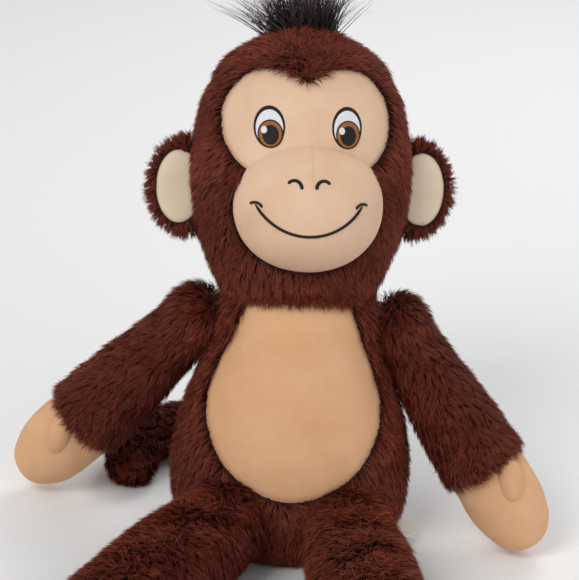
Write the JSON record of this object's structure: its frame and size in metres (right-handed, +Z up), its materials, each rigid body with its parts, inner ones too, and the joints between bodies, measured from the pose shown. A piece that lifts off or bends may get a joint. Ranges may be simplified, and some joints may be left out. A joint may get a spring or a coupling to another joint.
{
  "type": "stuffed monkey",
  "caption": "Seated plush monkey with a ball-rooted head, arms and legs, a curled tail, tan face and belly and a tuft of hair on its crown.",
  "frame": {"origin": "middle of the flat seat, on the surface that the monkey sits on", "axes": "+Z up, the monkey faces -Y, and its left side is at +X"},
  "size_m": [0.3146, 0.3482, 0.3293],
  "materials": {
    "brown_pile": "matte",
    "tan_velboa": "matte",
    "fibre_fill": "matte",
    "black_thread": "matte",
    "white_thread": "matte",
    "amber_thread": "matte",
    "dark_hair": "matte",
    "label_tape": "matte",
    "backing_cloth": "matte",
    "brown_thread": "matte"
  },
  "bodies": {
    "torso": {"seat_gusset": "brown_pile", "belly_patch": "tan_velboa", "torso_front_left": "brown_pile", "torso_front_right": "brown_pile", "torso_back_left": "brown_pile", "torso_back_right": "brown_pile", "torso_stuffing": "fibre_fill", "back_closing_stitches": "brown_thread", "blank_side_label": "label_tape"},
    "neck_ring": {"neck_seam": "backing_cloth"},
    "head": {"face_patch": "tan_velboa", "head_back_gusset": "brown_pile", "head_side_left": "brown_pile", "head_side_right": "brown_pile", "muzzle_skin": "tan_velboa", "muzzle_stuffing": "fibre_fill", "head_stuffing": "fibre_fill", "nostrils": "black_thread", "mouth_line": "black_thread", "hair_tuft": "dark_hair", "eye_outline_left": "black_thread", "eye_white_left": "white_thread", "iris_left": "amber_thread", "pupil_left": "black_thread", "glint_left": "white_thread", "eye_outline_right": "black_thread", "eye_white_right": "white_thread", "iris_right": "amber_thread", "pupil_right": "black_thread", "glint_right": "white_thread"},
    "tail": {"tail_fur": "brown_pile", "tail_stuffing": "fibre_fill"},
    "ear_left": {"ear_lining_left": "tan_velboa", "ear_fur_left": "brown_pile"},
    "shoulder_left": {"shoulder_seam_left": "backing_cloth"},
    "arm_left": {"sleeve_fur_left": "brown_pile", "palm_left": "tan_velboa", "hand_back_left": "tan_velboa", "thumb_left": "tan_velboa", "arm_stuffing_left": "fibre_fill"},
    "hip_left": {"hip_seam_left": "backing_cloth"},
    "leg_left": {"leg_fur_left": "brown_pile", "foot_left": "tan_velboa", "sole_left": "tan_velboa", "leg_stuffing_left": "fibre_fill"},
    "ear_right": {"ear_lining_right": "tan_velboa", "ear_fur_right": "brown_pile"},
    "shoulder_right": {"shoulder_seam_right": "backing_cloth"},
    "arm_right": {"sleeve_fur_right": "brown_pile", "palm_right": "tan_velboa", "hand_back_right": "tan_velboa", "thumb_right": "tan_velboa", "arm_stuffing_right": "fibre_fill"},
    "hip_right": {"hip_seam_right": "backing_cloth"},
    "leg_right": {"leg_fur_right": "brown_pile", "foot_right": "tan_velboa", "sole_right": "tan_velboa", "leg_stuffing_right": "fibre_fill"}
  },
  "joints": [
    {"name": "neck_turn", "type": "hinge", "parent": "torso", "child": "neck_ring", "pos_m": [0, 0.03252, 0.11343], "axis": [-0.0348, 0.2731, 0.9613], "range_deg": [-35, 35], "stiffness_Nm_per_rad": 0.6},
    {"name": "neck_nod", "type": "hinge", "parent": "neck_ring", "child": "head", "pos_m": [0, 0.03252, 0.11343], "axis": [0.997, 0.0766, 0.0143], "range_deg": [-15, 18], "stiffness_Nm_per_rad": 1.5},
    {"name": "shoulder_swing_left", "type": "hinge", "parent": "torso", "child": "shoulder_left", "pos_m": [0.058, 0.03473, 0.12112], "axis": [-1, 0, 0], "range_deg": [-25, 80], "stiffness_Nm_per_rad": 0.3},
    {"name": "arm_raise_left", "type": "hinge", "parent": "shoulder_left", "child": "arm_left", "pos_m": [0.058, 0.03473, 0.12112], "axis": [0, -0.9272, 0.3746], "range_deg": [-10, 60], "stiffness_Nm_per_rad": 0.4},
    {"name": "hip_lift_left", "type": "hinge", "parent": "torso", "child": "hip_left", "pos_m": [0.034, -0.038, 0.027], "axis": [-1, 0, 0], "range_deg": [-20, 25], "stiffness_Nm_per_rad": 0.3},
    {"name": "leg_spread_left", "type": "hinge", "parent": "hip_left", "child": "leg_left", "pos_m": [0.034, -0.038, 0.027], "axis": [0, 0, 1], "range_deg": [-6, 25], "stiffness_Nm_per_rad": 0.3},
    {"name": "ear_fold_left", "type": "hinge", "parent": "head", "child": "ear_left", "pos_m": [0.05768, 0.06178, 0.20082], "axis": [0.0348, -0.2731, -0.9613], "range_deg": [-20, 25], "stiffness_Nm_per_rad": 0.01},
    {"name": "shoulder_swing_right", "type": "hinge", "parent": "torso", "child": "shoulder_right", "pos_m": [-0.058, 0.03473, 0.12112], "axis": [-1, 0, 0], "range_deg": [-25, 80], "stiffness_Nm_per_rad": 0.3},
    {"name": "arm_raise_right", "type": "hinge", "parent": "shoulder_right", "child": "arm_right", "pos_m": [-0.058, 0.03473, 0.12112], "axis": [0, 0.9994, 0.0349], "range_deg": [-5, 60], "stiffness_Nm_per_rad": 0.4},
    {"name": "hip_lift_right", "type": "hinge", "parent": "torso", "child": "hip_right", "pos_m": [-0.034, -0.038, 0.027], "axis": [-1, 0, 0], "range_deg": [-20, 25], "stiffness_Nm_per_rad": 0.3},
    {"name": "leg_spread_right", "type": "hinge", "parent": "hip_right", "child": "leg_right", "pos_m": [-0.034, -0.038, 0.027], "axis": [0, 0, -1], "range_deg": [-21, 11], "stiffness_Nm_per_rad": 0.3},
    {"name": "ear_fold_right", "type": "hinge", "parent": "head", "child": "ear_right", "pos_m": [-0.06395, 0.05243, 0.19908], "axis": [-0.0348, 0.2731, 0.9613], "range_deg": [-20, 25], "stiffness_Nm_per_rad": 0.01},
    {"name": "tail_swing", "type": "hinge", "parent": "torso", "child": "tail", "pos_m": [0, 0.061, 0.013], "axis": [0, 0, 1], "range_deg": [-35, 8], "stiffness_Nm_per_rad": 0.05}
  ]
}
